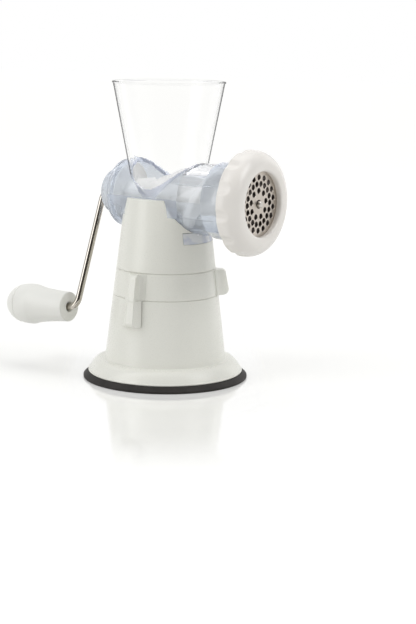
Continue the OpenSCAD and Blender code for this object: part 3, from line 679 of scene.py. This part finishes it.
# ---------------------------------------------------------------- crank rod, one bent bar
def sweep(name, points, r, mat, seg=48):
    """Round bar of radius r through points that lie in one plane across the local Y axis."""
    verts, faces = [], []
    n = len(points)
    side = Vector((0, 1, 0))
    for i, p in enumerate(points):
        t = (Vector(points[min(i + 1, n - 1)]) - Vector(points[max(i - 1, 0)])).normalized()
        up = side.cross(t)
        for k in range(seg):
            a = 2 * pi * k / seg
            verts.append(Vector(p) + r * (cos(a) * side + sin(a) * up))
    for i in range(n - 1):
        for k in range(seg):
            j = (k + 1) % seg
            faces.append((i * seg + k, i * seg + j, (i + 1) * seg + j, (i + 1) * seg + k))
    faces.append(tuple(range(seg - 1, -1, -1)))
    faces.append(tuple((n - 1) * seg + k for k in range(seg)))
    return mesh_object(name, verts, faces, mat, 60)


def crank_rod():
    steps, reach = 14, 55.0
    line = [(-25, 0, 0), (-ARM + BEND, 0, 0)]
    for k in range(1, steps + 1):
        a = pi / 2 * k / steps
        line.append((-ARM + BEND - BEND * sin(a), 0, -BEND + BEND * cos(a)))
    line.append((-ARM, 0, -THROW + BEND))
    for k in range(1, steps + 1):
        a = (pi / 2 - DROOP) * k / steps
        line.append((-ARM - BEND + BEND * cos(a), 0, -THROW + BEND - BEND * sin(a)))
    x, _, z = line[-1]
    line.append((x - reach * cos(DROOP), 0, z - reach * sin(DROOP)))
    ob = sweep("crank_rod_smooth", [tuple(c * MM for c in p) for p in line], ROD_R * MM, STEEL_ROD)
    ob.data.transform(Matrix.Translation(ON_AXIS) @ Matrix.Rotation(LEAN, 4, "X"))
    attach(ob, "crank")
    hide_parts("crank_rod")


# ---------------------------------------------------------------- hole plate
PLATE_X, PLATE_FACE, PLATE_R, HOLE_R, PIN_HOLE_R = 94.2, 99.2, 31.0, 2.5, 3.9
# each ring of holes: share of the plate's radius, number of holes, angle of the first in degrees
HOLE_RINGS = ((0.375, 9, 0), (0.57, 18, 10), (0.75, 18, 0))


def hole_plate():
    f, edge = PLATE_FACE, PLATE_R
    line = [(PLATE_X, 0), (PLATE_X, edge), (f - 0.4, edge), (f, edge - 0.4), (f, 0)]
    ob = lathe("hole_plate_smooth", mm(line), STEEL_PLATE, "x", 128, ON_AXIS)
    x0, x1, wide = PLATE_X - 1, f + 1, HOLE_R + 0.35
    hole = [(x0, 0), (x0, HOLE_R), (f - 0.25, HOLE_R), (f + 0.1, wide), (x1, wide), (x1, 0)]
    for share, count, first in HOLE_RINGS:
        r = share * PLATE_R * MM
        for i in range(count):
            a = radians(first + i * 360 / count)
            at = (0, r * sin(a), AXIS_Z + r * cos(a))
            boolean(ob, lathe("hole", mm(hole), HOLE_SHADE_STEEL, "x", 28, at), "DIFFERENCE")
    middle = [(x0, 0), (x0, PIN_HOLE_R), (x1, PIN_HOLE_R), (x1, 0)]
    boolean(ob, lathe("mid", mm(middle), HOLE_SHADE_STEEL, "x", 48, ON_AXIS), "DIFFERENCE")
    me = ob.data
    me.materials.clear()
    me.materials.append(STEEL_PLATE)
    me.materials.append(HOLE_SHADE_STEEL)
    # the hole walls take the painted shade; the face and rim keep the plate's steel
    for p in me.polygons:
        r = sqrt(p.center.y ** 2 + (p.center.z - AXIS_Z) ** 2)
        in_hole = abs(p.normal.x) < 0.3 and r < (PLATE_R - 0.5) * MM
        p.material_index = 1 if in_hole else 0
    me.shade_smooth()
    me.set_sharp_from_angle(angle=radians(30))
    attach(ob, "plate")
    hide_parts("hole_plate")


# ---------------------------------------------------------------- lower housing and the lock ring's seams
# the cone runs straight down to a crisp crease over a full, domed flange
FLANGE_R, FLANGE_LOW, CREASE_Z, LOW_SEAM, DECK_Z, COLUMN_BORE = 70.5, 5.8, 17.6, 76.95, 70.9, 33.55
# lips inside the two seams of the lock ring keep them shallow, as the photograph shows them
LIP_IN, LIP_TOP = 0.55, 77.27
UP_SEAM = (100.83, 101.17)


def lower_housing():
    seam_r, lip_r = cone_r(LOW_SEAM), cone_r(LOW_SEAM) - LIP_IN
    edge = along_z(arc(FLANGE_R - 0.8, FLANGE_LOW + 0.9, 0.8, -60, 55, 5))
    dome = along_z(bez([(69.3, 7.4), (67.3, 11.2), (65.6, 17.2), (59.0, CREASE_Z)], 22))
    crease = along_z(arc(cone_r(CREASE_Z + 0.9) + 0.9, CREASE_Z + 0.9, 0.9, 262, 182, 5))
    line = [(FLANGE_LOW, 51.0), (FLANGE_LOW, FLANGE_R - 0.6)] + edge + dome + crease
    line += [(LOW_SEAM - 0.3, seam_r), (LOW_SEAM, seam_r - 0.3), (LOW_SEAM, lip_r), (LIP_TOP, lip_r - 0.1),
             (LIP_TOP, COLUMN_BORE), (DECK_Z, COLUMN_BORE), (DECK_Z, cone_r(DECK_Z) - 3.5)]
    ob = lathe("lower_housing_look", mm(line), WHITE, "z", 256, smooth=30, closed=True)
    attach(ob, "stand")
    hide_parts("lower_housing")


def upper_lip():
    z0, z1 = UP_SEAM
    r = cone_r(z1) - LIP_IN
    line = [(z0, r - 3), (z0, r), (z1, r), (z1, r - 3)]
    lip = lathe("upper_housing_lip", mm(line), WHITE, "z", 192, closed=True)
    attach(lip, "stand")


clear_moulding()
worm()
ring_nut()
grip()
crank_rod()
hole_plate()
lower_housing()
upper_lip()

# ---------------------------------------------------------------- floor, world, lamps
# lengths from here on are metres
FLOOR_HALF = 6.0
FLOOR_GLOW = 0.58
FLOOR_LIT = 0.36
LIT_R = 1.15
FLOOR_GLOSS, GLOSS_UNDER_FOOT = 0.55, 0.34
# where the gloss grows past the foot, fades outward and stops at its sides, and where it narrows in front
GLOSS_FOOT, GLOSS_FADE, GLOSS_SIDE, GLOSS_FRONT = (0.080, 0.112), (0.19, 0.335), (0.080, 0.096), (0.10, 0.17)
GLOSS_NARROWS = 0.035


def floor_gloss():
    """A white sheet that glows evenly to the camera and mirrors the stand's foot."""
    m = bpy.data.materials.new("floor_gloss")
    m.use_nodes = True
    nt = m.node_tree
    nt.nodes.clear()
    out = nt.nodes.new("ShaderNodeOutputMaterial")
    diff = nt.nodes.new("ShaderNodeBsdfDiffuse")
    diff.inputs["Color"].default_value = (0.80, 0.80, 0.79, 1)
    glow = nt.nodes.new("ShaderNodeEmission")
    glow.inputs["Color"].default_value = (1, 1, 0.985, 1)
    lp = nt.nodes.new("ShaderNodeLightPath")
    straight = calc(nt, "MAXIMUM", lp.outputs["Is Camera Ray"], lp.outputs["Is Glossy Ray"])
    seen = calc(nt, "MAXIMUM", straight, lp.outputs["Is Transmission Ray"])
    tc = nt.nodes.new("ShaderNodeTexCoord")
    far = nt.nodes.new("ShaderNodeVectorMath")
    far.operation = "LENGTH"
    nt.links.new(tc.outputs["Object"], far.inputs[0])
    # the lamps reach only the middle of the sheet, so the glow grows outward to keep it one even white
    spread = calc(nt, "POWER", calc(nt, "DIVIDE", far.outputs["Value"], LIT_R), 2.0)
    even = calc(nt, "SUBTRACT", FLOOR_GLOW, calc(nt, "DIVIDE", FLOOR_LIT, calc(nt, "ADD", spread, 1.0)))
    nt.links.new(calc(nt, "MULTIPLY", seen, even), glow.inputs["Strength"])
    add = nt.nodes.new("ShaderNodeAddShader")
    nt.links.new(diff.outputs[0], add.inputs[0])
    nt.links.new(glow.outputs[0], add.inputs[1])
    gl = nt.nodes.new("ShaderNodeBsdfGlossy")
    gl.inputs["Color"].default_value = (1, 1, 1, 1)
    gl.inputs["Roughness"].default_value = 0.09
    # the sheet is glossy round the foot and turns matt further out
    near = smooth_ramp(nt, far.outputs["Value"], *GLOSS_FOOT, GLOSS_UNDER_FOOT, FLOOR_GLOSS)
    fade = smooth_ramp(nt, far.outputs["Value"], *GLOSS_FADE, 1.0, 0.0)
    turn = nt.nodes.new("ShaderNodeMapping")
    turn.inputs["Rotation"].default_value = (0, 0, -CAM_AZ)
    sep = nt.nodes.new("ShaderNodeSeparateXYZ")
    nt.links.new(tc.outputs["Object"], turn.inputs["Vector"])
    nt.links.new(turn.outputs[0], sep.inputs[0])
    # it narrows towards the viewer, so that only the stand shows in it
    front = calc(nt, "MULTIPLY", sep.outputs["Y"], -1.0)
    narrowing = smooth_ramp(nt, front, *GLOSS_FRONT, 0.0, GLOSS_NARROWS)
    wide = calc(nt, "ADD", calc(nt, "ABSOLUTE", sep.outputs["X"], 0.0), narrowing)
    side = smooth_ramp(nt, wide, *GLOSS_SIDE, 1.0, 0.0)
    mix = nt.nodes.new("ShaderNodeMixShader")
    nt.links.new(calc(nt, "MULTIPLY", calc(nt, "MULTIPLY", near, fade), side), mix.inputs["Fac"])
    nt.links.new(add.outputs[0], mix.inputs[1])
    nt.links.new(gl.outputs[0], mix.inputs[2])
    nt.links.new(mix.outputs[0], out.inputs["Surface"])
    return m


def make_floor():
    s = FLOOR_HALF
    me = bpy.data.meshes.new("floor")
    me.from_pydata([(-s, -s, 0), (s, -s, 0), (s, s, 0), (-s, s, 0)], [], [(0, 1, 2, 3)])
    o = bpy.data.objects.new("floor", me)
    bpy.context.scene.collection.objects.link(o)
    me.materials.append(floor_gloss())


# the backdrop's tones from behind the camera (0) to straight ahead (1), as gloss and glass see them
BACKDROP = ((0.0, (0.05, 0.045, 0.04)), (0.10, (0.07, 0.065, 0.06)), (0.24, (0.80, 0.80, 0.80)),
            (0.42, (0.80, 0.80, 0.81)), (0.50, (0.30, 0.33, 0.42)), (0.60, (0.30, 0.33, 0.42)),
            (0.74, (1, 1, 1)))
WORLD_LIGHT = 0.55


def backdrop(nt):
    """A background that follows BACKDROP round from the camera's back."""
    tc = nt.nodes.new("ShaderNodeTexCoord")
    dot = nt.nodes.new("ShaderNodeVectorMath")
    dot.operation = "DOT_PRODUCT"
    a = CAM_AZ + CAM_PAN
    dot.inputs[1].default_value = (-sin(a), cos(a), 0.0)
    nt.links.new(tc.outputs["Generated"], dot.inputs[0])
    ramp = nt.nodes.new("ShaderNodeValToRGB")
    stops = ramp.color_ramp.elements
    for stop, (at, tone) in zip((stops[0], stops[1]), (BACKDROP[0], BACKDROP[-1])):
        stop.position, stop.color = at, (*tone, 1)
    for at, tone in BACKDROP[1:-1]:
        stops.new(at).color = (*tone, 1)
    nt.links.new(remap(nt, dot.outputs["Value"], 0.0, 1.0, -1.0, 1.0), ramp.inputs["Fac"])
    back = nt.nodes.new("ShaderNodeBackground")
    nt.links.new(ramp.outputs["Color"], back.inputs["Color"])
    return back


def plain_background(nt, strength):
    back = nt.nodes.new("ShaderNodeBackground")
    back.inputs["Color"].default_value = (1, 1, 1, 1)
    back.inputs["Strength"].default_value = strength
    return back


def choose(nt, fac, first, second):
    """Mix two shaders: the first where fac is 0, the second where it is 1."""
    mix = nt.nodes.new("ShaderNodeMixShader")
    nt.links.new(fac, mix.inputs["Fac"])
    nt.links.new(first.outputs[0], mix.inputs[1])
    nt.links.new(second.outputs[0], mix.inputs[2])
    return mix


def make_world():
    w = bpy.data.worlds.new("studio")
    bpy.context.scene.world = w
    w.use_nodes = True
    nt = w.node_tree
    nt.nodes.clear()
    out = nt.nodes.new("ShaderNodeOutputWorld")
    lp = nt.nodes.new("ShaderNodeLightPath")
    reflected = calc(nt, "MAXIMUM", lp.outputs["Is Glossy Ray"], lp.outputs["Is Transmission Ray"])
    around = choose(nt, reflected, plain_background(nt, WORLD_LIGHT), backdrop(nt))
    world = choose(nt, lp.outputs["Is Camera Ray"], around, plain_background(nt, 1.0))
    nt.links.new(world.outputs[0], out.inputs["Surface"])


def lamp(name, at, target, size, energy):
    d = bpy.data.lights.new(name, "AREA")
    d.shape = "RECTANGLE"
    d.size, d.size_y = size
    d.energy = energy
    o = bpy.data.objects.new(name, d)
    bpy.context.scene.collection.objects.link(o)
    o.location = at
    o.rotation_euler = (Vector(target) - Vector(at)).to_track_quat("-Z", "Y").to_euler()


def cam_side(right, toward, up):
    """A point given from the object: metres to the camera's right, towards the camera, and up."""
    a = CAM_AZ + CAM_PAN
    return (cos(a) * right + sin(a) * toward, sin(a) * right - cos(a) * toward, up)


make_world()
make_floor()
lamp("key_left", cam_side(-1.5, 0.7, 0.95), (0, 0, 0.14), (0.9, 2.6), 13.4)
lamp("top", cam_side(0.1, -0.3, 1.7), (0, 0, 0.1), (1.6, 1.2), 7.0)
lamp("fill_right", cam_side(1.25, 0.55, 1.3), (0.05, 0, 0.15), (0.8, 0.8), 7.2)
lamp("rim_right", cam_side(1.3, -1.0, 0.3), (0, 0, 0.10), (0.5, 1.2), 1.5)
